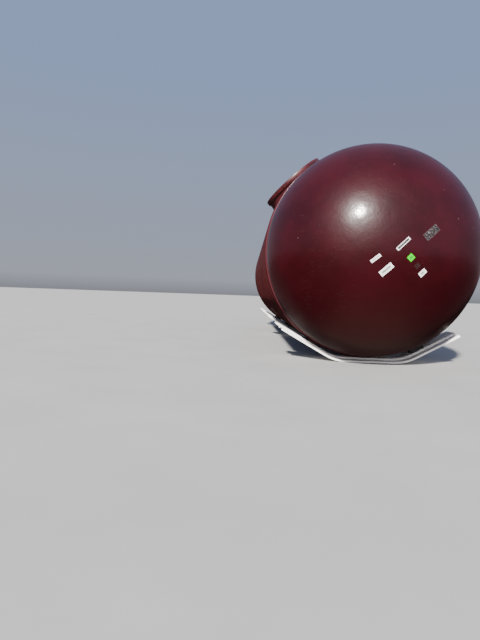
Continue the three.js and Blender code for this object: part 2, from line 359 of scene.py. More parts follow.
def makeCollarResin():
    material, tree, shader = newMaterial("collarResin", Coat_Weight=0.25, Coat_Roughness=0.22,
                                         Specular_IOR_Level=0.35)
    blotch = cloudy(tree, 4.5, 4)
    base = mixColour(rescale(blotch, 0.35, 0.65), collarLook["deep"], collarLook["warm"])
    # chopped strands lie in every direction
    strands = None
    for turn in collarLook["strandTurns"]:
        lines = rescale(cloudy(tree, 16, 2, 0.5, (1, 1, 9), turn), 0.6, 0.72)
        strands = lines if strands is None else combine("MAXIMUM", strands, lines)
    shown = combine("MULTIPLY", strands, collarLook["strandShare"])
    feed(shader, "Base Color", mixColour(shown, base, collarLook["strand"]))
    feed(shader, "Roughness", rescale(blotch, 0.3, 0.7, *collarLook["roughness"]))
    ridges = raiseSurface(strands, 0.25, 0.0012)
    feed(shader, "Normal", raiseSurface(cloudy(tree, 35, 3), 0.2, 0.002, ridges))
    return material


zincLook = {
    "grey": (0.93, 0.90, 0.85), "bright": (0.98, 0.96, 0.92), "stain": (0.66, 0.62, 0.56),
    "stainShare": 0.5, "spangle": 42.0, "roughness": (0.42, 0.56), "stainRoughness": 0.18,
}


def makeGalvanised():
    material, tree, shader = newMaterial("galvanisedSheet", Metallic=0.10)
    spangle = cellPattern(tree, zincLook["spangle"])[1]
    stain = rescale(cloudy(tree, 3.5, 5, 0.65), 0.56, 0.72)
    zinc = mixColour(spangle, zincLook["grey"], zincLook["bright"])
    shown = combine("MULTIPLY", stain, zincLook["stainShare"])
    feed(shader, "Base Color", mixColour(shown, zinc, zincLook["stain"]))
    rough = combine("ADD", rescale(spangle, 0, 1, *zincLook["roughness"]),
                    combine("MULTIPLY", stain, zincLook["stainRoughness"]))
    feed(shader, "Roughness", rough)
    feed(shader, "Normal", raiseSurface(cloudy(tree, 90, 3), 0.12, 0.0008))
    return material


# dark, light, roughness, scale of the pattern, bump, stain and its share; some say metallic and gloss too
plainLooks = {
    "padRubber": ((0.018, 0.018, 0.018), (0.035, 0.034, 0.033), (0.7, 0.9), 14, 0.001,
                  (0.12, 0.11, 0.10), 0.35),
    "boltZinc": ((0.30, 0.30, 0.29), (0.46, 0.455, 0.44), (0.35, 0.55), 40, 0.0004,
                 (0.16, 0.13, 0.10), 0.4, 0.6),
    "castSteel": ((0.10, 0.10, 0.10), (0.17, 0.165, 0.16), (0.45, 0.65), 18, 0.0012,
                  (0.16, 0.07, 0.035), 0.6, 0.75),
    "whiteVinyl": ((0.70, 0.695, 0.68), (0.77, 0.765, 0.75), (0.4, 0.55), 12, 0.0003,
                   (0.60, 0.56, 0.54), 0.35),
    "greenVinyl": ((0.0005, 0.46, 0.0005), (0.003, 0.54, 0.002), (0.5, 0.65), 12, 0.0003,
                   (0.005, 0.40, 0.005), 0.3, 0.0, 0.05),
    "greyFilm": ((0.012, 0.008, 0.009), (0.030, 0.026, 0.026), (0.35, 0.5), 80, 0.0003,
                 (0.34, 0.31, 0.31), 0.9, 0.0, 0.25),
    "wornInk": ((0.045, 0.026, 0.030), (0.105, 0.075, 0.080), (0.4, 0.55), 30, 0.0002,
                (0.025, 0.010, 0.012), 0.8),
    "palePrint": ((0.15, 0.17, 0.145), (0.24, 0.26, 0.23), (0.4, 0.55), 60, 0.0002,
                  (0.60, 0.60, 0.57), 0.7),
    "darkPrint": ((0.015, 0.012, 0.013), (0.030, 0.024, 0.025), (0.4, 0.55), 95, 0.0002,
                  (0.55, 0.54, 0.52), 0.6),
    "greenPrint": ((0.0005, 0.26, 0.0005), (0.001, 0.34, 0.001), (0.5, 0.65), 40, 0.0002,
                   (0.001, 0.42, 0.001), 0.6, 0.0, 0.05),
    "darkInk": ((0.014, 0.004, 0.005), (0.026, 0.009, 0.010), (0.45, 0.6), 60, 0.0002,
                (0.060, 0.030, 0.032), 0.5, 0.0, 0.2),
}


def makePlain(name, dark, light, roughness, scale, bump, stain=None, stainShare=0.5, metallic=0.0, gloss=0.5):
    # A worn plain finish: two near colours, uneven gloss, fine bump and stains
    material, tree, shader = newMaterial(name, Metallic=metallic, Specular_IOR_Level=gloss)
    colour = mixColour(rescale(cloudy(tree, scale, 5), 0.35, 0.65), dark, light)
    if stain is not None:
        worn = rescale(cloudy(tree, scale * 0.6, 6, 0.7), 0.55, 0.68, 0, stainShare)
        colour = mixColour(worn, colour, stain)
    feed(shader, "Base Color", colour)
    feed(shader, "Roughness", rescale(cloudy(tree, scale * 2, 4), 0.3, 0.7, *roughness))
    feed(shader, "Normal", raiseSurface(cloudy(tree, scale * 6, 3), 0.3, bump))
    return material


domeGelcoat = makeGelcoat()
barrelResin = makeResin("barrelResin")
ribResin = makeResin("ribResin")
collarResin = makeCollarResin()
galvanisedSheet = makeGalvanised()
plain = {name: makePlain(name, *look) for name, look in plainLooks.items()}
print("materials made")


dome = {"around": 240, "steps": 84, "innerSteps": 20, "wall": 0.016, "skirt": 0.060, "trimWave": 0.003,
        # (share of the lip's reach, y) round the rim
        "lip": ((0.05, 0.0010), (0.40, 0.0023), (0.74, 0.0039), (0.90, 0.0064), (0.98, 0.0105), (1.0, 0.020)),
        "ripple": 0.0011, "rippleScale": 1.9, "fineRipple": 0.00022, "fineScale": 7.0, "rimFade": 8}


def domeRipple(x, z):
    # slow swells left by the mould and the lay-up, dying away at the rim
    share = min(1.0, max(0.0, (1 - hypot(x, z) / domeRadius) * dome["rimFade"]))
    slowScale, fineScale = dome["rippleScale"], dome["fineScale"]
    slow = (wobble(x * slowScale, z * slowScale, 0.3) - 1) * dome["ripple"]
    fine = (wobble(x * fineScale, z * fineScale, 4.1) - 1) * dome["fineRipple"]
    return (slow + fine) * share


def domePoint(x, z, lift=0.0):
    # A point of the front dome's outside over (x, z), both from the tank's axis
    reach = min(1.0, hypot(x, z) / domeRadius)
    y = -domeDepth * sqrt(1 - reach * reach)
    normal = Vector((x / domeRadius ** 2, y / domeDepth ** 2, z / domeRadius ** 2)).normalized()
    point = Vector((x, -halfBarrel + y, z + axisHeight))
    return point + normal * (domeRipple(x, z) + lift)


def domeEnd(name, facing):
    # Rows are (radius, y, kind): kind 1 is the swelling outside, 2 the hand-trimmed skirt.
    rows = [(0, -domeDepth, 1)]
    for i in range(1, dome["steps"] + 1):
        t = pi / 2 * i / dome["steps"]
        rows.append((domeRadius * sin(t), -domeDepth * cos(t), 1))
    for share, y in dome["lip"]:
        rows.append((domeRadius + lipReach * share, y, 0))
    skirt = dome["skirt"]
    rows += [(domeRadius + lipReach * 0.96, skirt - 0.010, 2),
             (domeRadius + lipReach * 0.70, skirt - 0.003, 2),
             (seatRadius + 0.0004, skirt, 2), (seatRadius, 0.0, 0)]
    innerRadius, innerDepth = shellRadius - shellWall, domeDepth - dome["wall"]
    for i in range(dome["innerSteps"], 0, -1):
        t = pi / 2 * i / dome["innerSteps"]
        rows.append((innerRadius * sin(t), -innerDepth * cos(t), 0))
    rows.append((0, -innerDepth, 0))

    def place(row, a):
        radius, y, kind = row
        x, z = radius * sin(a), radius * cos(a)
        if kind == 1:
            point = domePoint(x, z)
            x, y, z = point.x, point.y + halfBarrel, point.z - axisHeight
        if kind == 2:
            y += dome["trimWave"] * wobble(4 * sin(a), 4 * cos(a), 2.0, facing)
        return Vector((x, y - halfBarrel, z + axisHeight))

    points, faces = roundSurface(rows, dome["around"], place)
    if facing > 0:                               # the rear end is the front one turned about
        points = [Vector((-p.x, -p.y, p.z)) for p in points]
    piece = newPiece(name, points, faces)
    return finishPiece(piece, domeGelcoat, [name.replace("Shell", "")])


domeEnd("dome_frontShell", -1)
domeEnd("dome_rearShell", 1)
print("domed ends made")


barrel = {"around": 180, "alongStep": 0.06, "unevenness": 0.0009,
          "manwayHole": 0.286, "holeHeights": (1.30, 1.70)}
band = {"around": 180, "edgeTaper": 0.020, "thickness": 0.008, "ragged": 0.010, "unevenness": 0.0006}
rib = {"count": 20, "around": 168, "foot": 0.065, "crown": 0.032, "corner": 0.015,
       "flange": 0.040, "bandFlange": 0.014, "endFlange": 0.006, "flangeRagged": 0.008,
       "crownDip": 0.0016, "flankWave": 0.0016,
       "underCollar": (2, 3, 4), "collarGap": 0.5335, "gapHeights": (1.2, 1.75)}


def aboutAxis(radius, y, a):
    return Vector((radius * sin(a), y, axisHeight + radius * cos(a)))


def cylinderCutter(radius, low, high, y, around=96):
    rows = [(0, low), (radius, low), (radius, high), (0, high)]

    def place(row, a):
        return onTopLine(row[0] * cos(a), y + row[0] * sin(a), row[1])

    return newPiece("cutter", *roundSurface(rows, around, place))


def barrelHalf(nodeName):
    low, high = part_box(nodeName)
    count = round((high.y - low.y) / barrel["alongStep"])
    ys = [low.y + (high.y - low.y) * i / count for i in range(count + 1)]
    inner = shellRadius - shellWall
    rows = [(shellRadius, y, 1 if 0 < i < count else 0) for i, y in enumerate(ys)]
    rows += [(inner, high.y, 0), (inner, low.y, 0)]

    def place(row, a):
        radius, y, uneven = row
        wave = wobble(2.5 * sin(a), y * 3.0, 2.5 * cos(a), 5.0)
        return aboutAxis(radius - uneven * barrel["unevenness"] * abs(wave), y, a)

    piece = newPiece(nodeName + "Wall", *roundSurface(rows, barrel["around"], place))
    if low.y < 0:                                # the front half has the hole under the manway
        cutWith(piece, cylinderCutter(barrel["manwayHole"], *barrel["holeHeights"], collarY))
    return finishPiece(piece, barrelResin, [nodeName])


def jointBand():
    low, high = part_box("joint_band_middle")
    top, taper = seatRadius + band["thickness"] - band["unevenness"], band["edgeTaper"]
    width = high.y - low.y - 2 * taper
    rows = [(seatRadius, low.y, 1), (seatRadius + 0.002, low.y + 0.002, 1),
            (top - 0.001, low.y + taper, 0.5)]
    rows += [(top, low.y + taper + width * i / 8, 0) for i in range(1, 8)]
    rows += [(top - 0.001, high.y - taper, 0.5),
             (seatRadius + 0.002, high.y - 0.002, 1), (seatRadius, high.y, 1)]

    def place(row, a):
        radius, y, edge = row
        inward = -1 if y > 0 else 1
        ragged = abs(wobble(7 * sin(a), y * 4, 7 * cos(a), 2.2)) * band["ragged"] * edge * inward
        if edge < 1:
            radius += band["unevenness"] * wobble(5 * sin(a), y * 20, 5 * cos(a), 8.0)
        return aboutAxis(radius, y + ragged, a)

    return finishPiece(newPiece("jointBandLayup", *roundSurface(rows, band["around"], place)),
                       barrelResin, ["joint_band_middle"])


def ribOutline(frontFlange, rearFlange):
    # (across, height over the seat, ragged share, dip share) from one flange edge over the crown
    height = ribRadius - seatRadius
    foot, crown = rib["foot"], rib["crown"]
    flank, corner, middle = (foot - 0.005, 0.0125), (crown, height), (0, height)
    half = [(foot + 0.012, 0.0030, 0.3, 0), (foot + 0.003, 0.0050, 0, 0), (*flank, 0, 0.4)]
    half += [(across, up, 0, 0.8) for across, up in roundCorner(flank, corner, middle, rib["corner"])]
    half.append((crown * 0.3, height, 0, 1))
    sides = []
    for sign, flange in ((-1, frontFlange), (1, rearFlange)):
        edge = [(foot + flange, 0.0, 1, 0), (foot + flange - 0.001, 0.0015, 1, 0)]
        sides.append([(sign * w, h, ragged, dip) for w, h, ragged, dip in edge + half])
    return sides[0] + sides[1][::-1]


def flangeWidth(number, atDome, atBand):
    # short beside a dome's skirt and beside the joint band
    return {atDome: rib["endFlange"], atBand: rib["bandFlange"]}.get(number, rib["flange"])


def makeRib(number):
    nodeName = f"rib_{number:02d}"
    middle, count = middleY(nodeName), rib["count"]
    frontFlange = flangeWidth(number, 1, count // 2 + 1)
    rearFlange = flangeWidth(number, count, count // 2)
    rows = [(seatRadius + h, w, ragged, dip) for w, h, ragged, dip in ribOutline(frontFlange, rearFlange)]

    def place(row, a):
        radius, across, ragged, dip = row
        s, c = sin(a), cos(a)
        trim = ragged * rib["flangeRagged"] * wobble(9 * s, across * 30, 9 * c, number)
        sideways = trim * min(1, frontFlange * 60)
        sideways += dip * rib["flankWave"] * wobble(2.2 * s, number, 2.2 * c)
        dent = dip * rib["crownDip"] * abs(wobble(3.1 * s, across * 12, 3.1 * c, number + 0.5))
        return aboutAxis(radius - dent, middle + across + sideways, a)

    piece = newPiece(nodeName + "Moulding", *roundSurface(rows, rib["around"], place))
    if number in rib["underCollar"]:
        cutWith(piece, cylinderCutter(rib["collarGap"], *rib["gapHeights"], collarY))
    return finishPiece(piece, ribResin, [nodeName])


for half in ("barrel_front", "barrel_rear"):
    barrelHalf(half)
jointBand()
for number in range(1, rib["count"] + 1):
    makeRib(number)
print("barrel and ribs made")


def saddle(radius, a):
    # Height of the shell under a point that stands off the top line by radius, towards a
    return sqrt(seatRadius ** 2 - (radius * cos(a)) ** 2)


def upright(name, y, rows, steps, top, seed=1.0):
    # Rows are (radius, share of the shell's own height, lift, ragged); the rest of the height is top.
    def place(row, a):
        radius, share, lift, ragged = row
        if ragged:
            radius += ragged * wobble(4 * cos(a), 4 * sin(a), radius * 6, seed)
        height = share * saddle(radius, a) + (1 - share) * top + lift
        return onTopLine(radius * cos(a), y + radius * sin(a), height)
    return newPiece(name, *roundSurface(rows, steps, place))


collar = {"around": 160, "wall": 0.533, "inner": 0.521, "bandHeight": 0.066, "flare": 0.016,
          "foot": 0.080, "wallSteps": 9, "wallWave": 0.0012, "footRagged": 0.012}
manway = {"around": 96, "neck": 0.300, "inner": 0.286, "flange": 0.366, "top": 1.640,
          "flangeHeight": 0.022, "cover": 0.018, "raisedHeight": 0.007,
          "raised": (0.305, 0.296, 0.286, 0.12),     # radii of the cover's raised middle, inwards
          "boltCircle": 0.334, "bolts": 16, "bolt": 0.0145, "boltTop": 0.016, "washer": 0.021,
          "gasketWidth": 0.018, "gasketHalf": 0.0022}


def makeCollar():
    wall, inner, outer, bandHeight = collar["wall"], collar["inner"], collarReach, collar["bandHeight"]
    rows = [(inner, 0, -0.004, 0), (inner + 0.002, 0, -0.001, 0), (inner + 0.006, 0, 0, 0)]
    rows += [(outer - 0.008, 0, 0, 0), (outer - 0.003, 0, -0.0015, 0), (outer, 0, -0.006, 0.001)]
    rows += [(outer, 0, -bandHeight / 2, 0.0015), (outer, 0, -bandHeight + 0.006, 0.001)]
    rows += [(outer - 0.003, 0, -bandHeight + 0.001, 0), (outer - 0.008, 0, -bandHeight, 0)]
    rows += [(wall + 0.010, 0, -bandHeight - 0.001, 0), (wall + 0.003, 0, -bandHeight - 0.004, 0)]
    for i in range(1, collar["wallSteps"]):      # down the wall, from under the band to the foot
        t = i / collar["wallSteps"]
        lift = (-bandHeight - 0.012) * (1 - t) + 0.045 * t
        rows.append((wall + collar["flare"] * t * t, t, lift, collar["wallWave"]))
    foot, ragged = wall + collar["foot"], collar["footRagged"]
    rows += [(wall + 0.020, 1, 0.030, 0), (wall + 0.027, 1, 0.017, 0), (wall + 0.038, 1, 0.009, 0.002),
             (wall + collar["foot"] * 0.6, 1, 0.0045, 0.004), (foot, 1, 0.0022, ragged),
             (foot, 1, hair, ragged)]
    rows += [(wall, 1, hair, 0), (inner, 1, hair, 0)]
    rows += [(inner, 1 - i / 6, -0.02 * i / 6, 0) for i in range(1, 6)]
    piece = upright("collarWall", collarY, rows, collar["around"], rimHeight, 3.0)
    return finishPiece(piece, collarResin, ["containment_collar"])


def makeNeck():
    neck, inner, flange, top = manway["neck"], manway["inner"], manway["flange"], manway["top"]
    under = manway["flangeHeight"]
    rows = [(inner, 0, -0.003, 0), (inner + 0.003, 0, 0, 0),
            (flange - 0.003, 0, 0, 0), (flange, 0, -0.003, 0), (flange, 0, -under + 0.003, 0),
            (flange - 0.003, 0, -under, 0), (neck + 0.014, 0, -under, 0),
            (neck + 0.003, 0, -under - 0.003, 0), (neck, 0.1, -under - 0.010, 0)]
    rows += [(neck, 1, 0.022, 0), (neck + 0.004, 1, 0.010, 0), (neck + 0.018, 1, 0.005, 0.003),
             (neck + 0.085, 1, 0.0030, 0.008), (neck + 0.086, 1, hair, 0.008), (inner, 1, hair, 0)]
    piece = upright("manwayNeckWall", collarY, rows, manway["around"], top, 6.0)
    return finishPiece(piece, collarResin, ["manway_neck"])


nut = {"chamfer": 0.16, "topShare": 0.86, "washerSides": 20, "washerEdge": 0.0022,
       "washerHeight": 0.003, "washerTop": 0.94}


def hexNut(points, faces, x, y, low, high, across, turn=0.0, washer=0.0):
    # A six-sided head with chamfered top corners, and a round washer where a radius is given
    def ring(radius, height, sides, spin):
        start = len(points)
        for i in range(sides):
            a = spin + 2 * pi * i / sides
            points.append(onTopLine(x + radius * cos(a), y + radius * sin(a), height))
        return list(range(start, start + sides))

    def close(rings):
        for near, far in zip(rings, rings[1:]):
            for i in range(len(near)):
                k = (i + 1) % len(near)
                faces.append((near[i], near[k], far[k], far[i]))
        faces.append(rings[0][::-1])
        faces.append(rings[-1])

    if washer:
        sides, edge, height = nut["washerSides"], nut["washerEdge"], nut["washerHeight"]
        close([ring(washer, low, sides, 0), ring(washer, low + edge, sides, 0),
               ring(washer * nut["washerTop"], low + height, sides, 0)])
        low += 0.0031                            # a hair above the washer
    close([ring(across, low, 6, turn), ring(across, high - across * nut["chamfer"], 6, turn),
           ring(across * nut["topShare"], high, 6, turn)])


def makeCover():
    top = manway["top"] + seatGap
    upper = top + manway["cover"]
    flange, cover = manway["flange"], manway["cover"]
    edge, slope, shoulder, middle = manway["raised"]
    raised = cover + manway["raisedHeight"]
    rows = [(0, 0, 0.0, 0), (flange - 0.002, 0, 0.0, 0), (flange, 0, 0.002, 0),
            (flange, 0, cover - 0.004, 0), (flange - 0.004, 0, cover, 0), (edge, 0, cover, 0),
            (slope, 0, cover + 0.005, 0), (shoulder, 0, raised, 0), (middle, 0, raised, 0), (0, 0, raised, 0)]
    piece = upright("manwayCoverPlate", collarY, rows, manway["around"], top)
    finishPiece(piece, barrelResin, ["manway_cover"])
    points, faces = [], []
    for i in range(manway["bolts"]):
        a = 2 * pi * i / manway["bolts"]
        x, y = manway["boltCircle"] * cos(a), collarY + manway["boltCircle"] * sin(a)
        hexNut(points, faces, x, y, upper + hair, upper + manway["boltTop"], manway["bolt"],
               a * 1.7, manway["washer"])
    finishPiece(newPiece("manwayBolts", points, faces), plain["boltZinc"], sharp=25)
    inside, half = flange - manway["gasketWidth"], manway["gasketHalf"]
    rows = [(inside, 0, -half, 0), (flange + 0.0012, 0, -half, 0), (flange + 0.0018, 0, 0.0, 0),
            (flange + 0.0012, 0, half, 0), (inside, 0, half, 0)]
    gasket = upright("manwayGasket", collarY, rows, manway["around"], top)
    finishPiece(gasket, plain["padRubber"])


fitting = {"radius": 0.068, "top": 1.628, "around": 64, "plug": 0.046, "plugHeights": (-0.010, 0.016),
           "pad": 0.165, "padAround": 80, "capPlug": 0.030, "capPlugHeights": (0.012, 0.034)}


def makePlug(name, y, low, high, across, turn):
    points, faces = [], []
    hexNut(points, faces, 0, y, low, high, across, turn)
    finishPiece(newPiece(name, points, faces), plain["castSteel"], sharp=25)


def makeTopFitting(number):
    y = middleY(f"top_fitting_{number}")
    r, top = fitting["radius"], fitting["top"]
    rows = [(0, 0, -0.012, 0), (0.052, 0, -0.012, 0), (0.054, 0, -0.003, 0), (0.057, 0, 0, 0),
            (r - 0.004, 0, 0, 0), (r, 0, -0.004, 0), (r, 0, -0.030, 0), (r - 0.003, 0, -0.033, 0),
            (r - 0.003, 1, 0.020, 0), (r - 0.003, 1, hair, 0), (0, 1, hair, 0)]
    body = upright(f"topFitting{number}Body", y, rows, fitting["around"], top)
    finishPiece(body, plain["castSteel"], [f"top_fitting_{number}"])
    low, high = fitting["plugHeights"]
    makePlug(f"topFitting{number}Plug", y, top + low, top + high, fitting["plug"], 0.4 * number)
    pad = fitting["pad"]
    rows = [(r - 0.002, 1, 0.024, 0), (r + 0.003, 1, 0.018, 0), (r + 0.012, 1, 0.009, 0.001),
            (r + 0.035, 1, 0.006, 0.003), (pad, 1, 0.003, 0.010), (pad + 0.001, 1, 0.0003, 0.010),
            (r - 0.002, 1, 0.0003, 0)]
    layup = upright(f"topFitting{number}Layup", y, rows, fitting["padAround"], top, number * 1.3)
    finishPiece(layup, collarResin)


def makeCoverFitting(number):
    y = middleY(f"cover_fitting_{number}")
    base = manway["top"] + manway["cover"] + 0.0076          # just over the cover's raised middle
    r = fitting["radius"]
    rows = [(0, 0, 0.014, 0), (0.050, 0, 0.014, 0), (0.052, 0, 0.022, 0), (0.056, 0, 0.0245, 0),
            (r - 0.004, 0, 0.0245, 0), (r, 0, 0.021, 0), (r, 0, 0.0, 0), (0, 0, 0.0, 0)]
    body = upright(f"coverFitting{number}Body", y, rows, fitting["around"], base)
    finishPiece(body, plain["castSteel"], [f"cover_fitting_{number}"])
    low, high = fitting["capPlugHeights"]
    makePlug(f"coverFitting{number}Plug", y, base + low, base + high, fitting["capPlug"], 0.3 + number)


lug = {"thickness": 0.030, "length": 0.190, "top": 1.687, "eye": 0.034, "bevel": 0.005,
       "archSteps": 28, "eyeSteps": 32}
lugMat = {"rows": 26, "columns": 22, "reach": (0.155, 0.090), "ragged": 0.05, "rounding": 0.10,
          "thickness": 0.003, "swell": 0.012, "climb": 0.022, "climbReach": 0.03, "grain": 0.0006}


def lugPlate(name, y):
    # A round-topped plate with its eye, as a filled and bevelled outline
    curve = bpy.data.curves.new(name, "CURVE")
    curve.dimensions = "2D"
    curve.fill_mode = "BOTH"
    curve.extrude = lug["thickness"] / 2 - lug["bevel"]
    curve.bevel_depth = lug["bevel"]
    curve.bevel_resolution = 2
    curve.offset = -lug["bevel"]
    half, eye = lug["length"] / 2, lug["eye"]
    eyeHeight = lug["top"] - half
    low = seatRadius + 0.004
    sides = [(-half, low), (half, low)]
    for i in range(lug["archSteps"] + 1):
        a = pi * i / lug["archSteps"]
        sides.append((half * cos(a), eyeHeight + half * sin(a)))
    hole = []
    for i in range(lug["eyeSteps"]):
        a = 2 * pi * i / lug["eyeSteps"]
        hole.append((eye * cos(a), eyeHeight + half / 3 - eye * sin(a)))
    for outline in (sides, hole):
        spline = curve.splines.new("POLY")
        spline.points.add(len(outline) - 1)
        for point, (u, v) in zip(spline.points, outline):
            point.co = (u, v - low, 0, 1)
        spline.use_cyclic_u = True
    shape = addObject(name, curve)
    mesh = finishedMesh(shape)
    bpy.data.objects.remove(shape)
    for v in mesh.vertices:                       # outline (along, up, thick) to the rolled frame
        along, up, thick = v.co
        v.co = onTopLine(thick, y + along, low + up)
    return addObject(name, mesh)


def nearPlate(distance, half):
    # 1 inside the plate's outline, down to 0 a little way off it
    return max(0.0, 1 - max(abs(distance) - half, 0) / lugMat["climbReach"])


def makeLug(number):
    y = middleY(f"lifting_lug_{number}")
    plate = lugPlate(f"liftingLug{number}Plate", y)
    finishPiece(plate, collarResin, [f"lifting_lug_{number}"], sharp=50)
    # foot lay-up: a ragged mat over the shell that climbs the plate
    rows, columns = lugMat["rows"], lugMat["columns"]
    grid = []
    for i in range(rows + 1):
        u = i / rows * 2 - 1
        grid.append([])
        for j in range(columns + 1):
            v = j / columns * 2 - 1
            edge = max(abs(u), abs(v))
            shrink = 1 + lugMat["ragged"] * wobble(u * 3, v * 3, number) * edge
            rounding = 1 - lugMat["rounding"] * (u * v) ** 2
            along, across = [way * reach * shrink * rounding for way, reach in zip((u, v), lugMat["reach"])]
            ground = sqrt(seatRadius ** 2 - across ** 2)
            beside = nearPlate(across, lug["thickness"] / 2) * nearPlate(along, lug["length"] / 2)
            rise = lugMat["thickness"] + lugMat["swell"] * max(0.0, 1 - edge ** 3)
            rise += lugMat["climb"] * beside ** 2
            top = ground + rise + lugMat["grain"] * wobble(along * 60, across * 60, number)
            grid[-1].append([onTopLine(across, y + along, height) for height in (top, ground + hair)])
    mat = newPiece(f"liftingLug{number}Layup", *stripSurface(grid))
    finishPiece(mat, collarResin, sharp=60)


makeCollar()
makeNeck()
makeCover()
for number in (1, 2, 3):
    makeTopFitting(number)
for number in (1, 2):
    makeCoverFitting(number)
for number in (1, 2, 3, 4):
    makeLug(number)
print("collar, manway, fittings and lugs made")


cradle = {"sheet": 0.006, "height": 0.060, "crown": 0.330, "brim": 0.135, "brimHeight": 0.030,
          "shift": 0.045, "flatToCorner": 0.511, "bendRadius": 0.660, "angle": radians(29.0),
          "leftArm": 1.040, "rightArm": 0.885, "bendSteps": 12, "armSteps": 6,
          "foldRadius": 0.009, "webLean": 0.008, "leftTrim": 0.125, "crownTrim": 0.022,
          "brimWave": 0.0012, "waveAngle": 0.3, "waveFrom": 0.2}    # the brims wave a little on the arms
pad = {"length": 0.220, "width": 0.150, "bevel": 0.004, "groove": 0.004,
       "grooveLevels": (0.30, 0.62), "grooveHalves": (0.09, 0.03),
       "ends": ((1, 0.94), (0.985, 0.98), (0.97, 1.0))}   # (share of the half length, size there)


def cradleStations():
    # (x, z, normal) along the underside, from the left arm's end to the right arm's end
    halfTurn = tan(cradle["angle"] / 2)
    outerBend = cradle["bendRadius"] + cradle["height"]
    flatEnd = cradle["flatToCorner"] + cradle["height"] * halfTurn - outerBend * halfTurn

    def arm(side, length):
        stations = [(flatEnd * 0.5, 0.0, 0.0)]
        for i in range(cradle["bendSteps"] + 1):
            t = cradle["angle"] * i / cradle["bendSteps"]
            stations.append((flatEnd + outerBend * sin(t), outerBend - outerBend * cos(t), t))
        x, z, t = stations[-1]
        straight = length - cradle["bendRadius"] * halfTurn
        for i in range(1, cradle["armSteps"] + 1):
            d = straight * i / cradle["armSteps"]
            stations.append((x + d * cos(t), z + d * sin(t), t))
        return [(cradle["shift"] + side * x, z, side * t) for x, z, t in stations]

    return arm(-1, cradle["leftArm"])[::-1] + [(cradle["shift"], 0.0, 0.0)] + arm(1, cradle["rightArm"])


def sheetLine():
    # Middle line of the bent sheet across the cradle, with rounded folds, as (across, up)
    half, sheet = cradle["crown"] / 2, cradle["sheet"]
    edge = half + cradle["brim"] - sheet / 2
    foot, low, high = seatGap, cradle["brimHeight"] - sheet / 2, cradle["height"] - sheet / 2
    web = half - sheet / 2
    top = web - cradle["webLean"]                # the webs lean in towards the crown
    corners = [(edge, foot), (edge, low), (web, low), (top, high), (-top, high), (-web, low),
               (-edge, low), (-edge, foot)]
    line = [corners[0]]
    for before, corner, after in zip(corners, corners[1:], corners[2:]):
        line += roundCorner(before, corner, after, cradle["foldRadius"], 3)
    line.append(corners[-1])
    return line


def makeCradle(place):
    y = middleY(f"cradle_{place}")
    line = sheetLine()
    sideways = []
    for i in range(len(line)):
        before, after = line[max(i - 1, 0)], line[min(i + 1, len(line) - 1)]
        along = Vector((after[0] - before[0], after[1] - before[1])).normalized()
        sideways.append((along.y, -along.x))
    halfSheet = cradle["sheet"] / 2 - 0.00002    # a hair thinner than the solid
    grid = []
    for station, (x, z, t) in enumerate(cradleStations()):
        # the left end is cut a little short, and its brims stop before the crown does
        crownBack, brimBack = (cradle["crownTrim"], cradle["leftTrim"]) if station == 0 else (0.0, 0.0)
        grid.append([])
        for (w, h), (nw, nh) in zip(line, sideways):
            pair = []
            for sign in (1, -1):
                across, up = w + sign * nw * halfSheet, max(0.0, h + sign * nh * halfSheet)
                if abs(t) > cradle["waveAngle"] and abs(w) > cradle["waveFrom"]:
                    up += cradle["brimWave"] * wobble(x * 3, y, z * 3)
                back = brimBack if abs(w) > cradle["crown"] / 2 else crownBack
                pair.append(Vector((x + cos(t) * back - sin(t) * up, y + across,
                                    z + sin(t) * back + cos(t) * up)))
            grid[-1].append(pair)
    finishPiece(newPiece(f"cradle_{place}Sheet", *stripSurface(grid)), galvanisedSheet,
                [f"cradle_{place}"], sharp=40)


def makePad(place, side):
    name = f"pad_{place}_{side}"
    low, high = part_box(name)
    centre = (low + high) / 2
    sign = -1 if side == "left" else 1
    t = cradle["angle"]
    outwards = Vector((sign * cos(t), 0, sin(t)))    # along the arm
    upwards = Vector((-sign * sin(t), 0, cos(t)))    # from the arm to the rib
    distance = (centre - Vector((0, centre.y, axisHeight))).length
    thickness = 2 * (distance - ribRadius - seatGap)
    half, depth, groove = pad["width"] / 2, pad["bevel"], pad["groove"]
    section = [(-half + depth, 0), (half - depth, 0), (half, depth)]
    wide, narrow = pad["grooveHalves"]
    for level in pad["grooveLevels"]:                # grooves down each side
        section += [(half, thickness * (level - wide)), (half - groove, thickness * (level - narrow)),
                    (half - groove, thickness * (level + narrow)), (half, thickness * (level + wide))]
    section += [(half, thickness - depth), (half - depth, thickness)]
    section += [(-w, h) for w, h in section[:1:-1]]
    points, faces, rings = [], [], []
    stations = [(-s, shrink) for s, shrink in pad["ends"]] + [(i / 10, 1.0) for i in range(-9, 10)]
    stations += pad["ends"][::-1]
    for s, shrink in stations:
        along = s * pad["length"] / 2
        bulge = ribRadius - sqrt(ribRadius ** 2 - along ** 2)    # the top follows the rib
        ring = []
        for w, h in section:
            up = (h - thickness / 2) * shrink + thickness / 2 + bulge * h / thickness
            point = centre + outwards * along + upwards * (up - thickness / 2)
            ring.append(len(points))
            points.append(point + Vector((0, w * shrink, 0)))
        rings.append(ring)
    for near, far in zip(rings, rings[1:]):
        for i in range(len(section)):
            k = (i + 1) % len(section)
            faces.append((near[i], near[k], far[k], far[i]))
    faces += [tuple(rings[0]), tuple(rings[-1][::-1])]
    finishPiece(newPiece(f"{name}Block", points, faces), plain["padRubber"], [name], sharp=30)


for place in ("front", "middle", "rear"):
    makeCradle(place)
    for side in ("left", "right"):
        makePad(place, side)
print("cradles and pads made")


# Stickers on the front dome, with plain printed fields and no letters
# along: to the right as the tank stands upright; up: towards its top line; both from the axis

